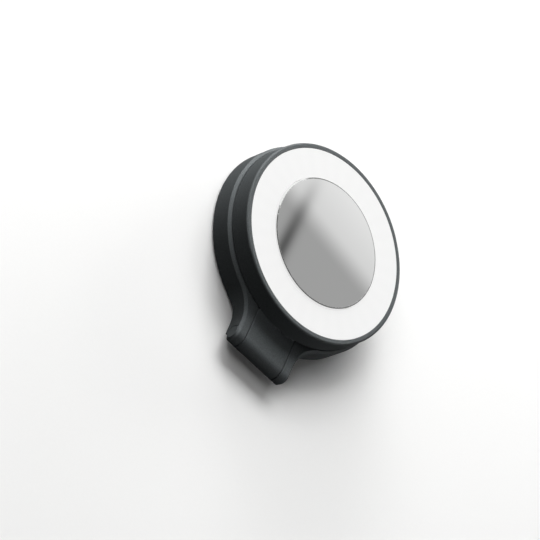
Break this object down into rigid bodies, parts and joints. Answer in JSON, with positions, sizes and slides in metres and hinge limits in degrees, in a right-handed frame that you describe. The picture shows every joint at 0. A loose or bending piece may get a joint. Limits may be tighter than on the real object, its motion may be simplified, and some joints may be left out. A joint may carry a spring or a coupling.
{
  "type": "ring light",
  "caption": "Magnetic fold-out ring light for a phone: hinged disc head with a glowing ring round a mirror, on a magnetic disc base.",
  "frame": {"origin": "centre of the magnetic contact face", "axes": "+Z out of the light's front with the head closed, X along the hinge pin, hinge on the -Y side"},
  "size_m": [0.0572, 0.0676, 0.0136],
  "materials": {
    "housing_slate": "dark slate anodised, fine-grained satin",
    "button_slate": "satin, coloured like the housing",
    "inner_plastic_black": "black moulded",
    "soft_pad": "soft matt silicone",
    "magnet_plate": "nickel-plated magnet",
    "yoke_steel": "plain steel strip",
    "screw_steel": "black-plated",
    "pin_steel": "ground",
    "spring_brass": "spring bronze",
    "opal_diffuser": "opal white, lit from behind",
    "mirror_glass": "polished, with a ground bevel",
    "foam_tape": "closed-cell foam",
    "tray_white": "white reflector plastic",
    "board_white": "white solder mask",
    "led_warm": "warm phosphor",
    "led_cool": "cool phosphor",
    "port_steel": "formed steel",
    "board_green": "green solder mask",
    "chip_black": "moulded chip packages",
    "battery_foil": "foil pouch",
    "lead_red": "wire insulation",
    "lead_white": "wire insulation"
  },
  "bodies": {
    "base": {"base_shell": "housing_slate", "bottom_cover": "inner_plastic_black", "contact_pad": "soft_pad", "magnet_ring": "magnet_plate", "magnet_yoke": "yoke_steel", "base_screws": "screw_steel", "hinge_pin": "pin_steel", "pin_cap_left": "housing_slate", "pin_cap_right": "housing_slate"},
    "head": {"friction_sleeves": "spring_brass", "rear_cover": "housing_slate", "head_shell": "housing_slate", "head_screws": "screw_steel", "diffuser": "opal_diffuser", "mirror": "mirror_glass", "mirror_tape": "foam_tape", "light_tray": "tray_white", "led_board": "board_white", "warm_leds": "led_warm", "cool_leds": "led_cool", "button_switch": "inner_plastic_black", "usb_c_port": "port_steel", "usb_contact_tongue": "inner_plastic_black", "control_board": "board_green", "board_components": "chip_black", "battery": "battery_foil", "battery_foam": "foam_tape", "battery_leads": "lead_red", "led_leads": "lead_white"},
    "power_button": {"power_button": "button_slate"}
  },
  "joints": [
    {"name": "head_hinge", "type": "hinge", "parent": "base", "child": "head", "pos_m": [0, -0.03645, 0.0045], "axis": [1, 0, 0], "range_deg": [0, 180]},
    {"name": "power_button_press", "type": "slide", "parent": "head", "child": "power_button", "axis": [-1, 0, 0], "range_m": [0, 0.0003], "stiffness_N_per_m": 2000}
  ]
}
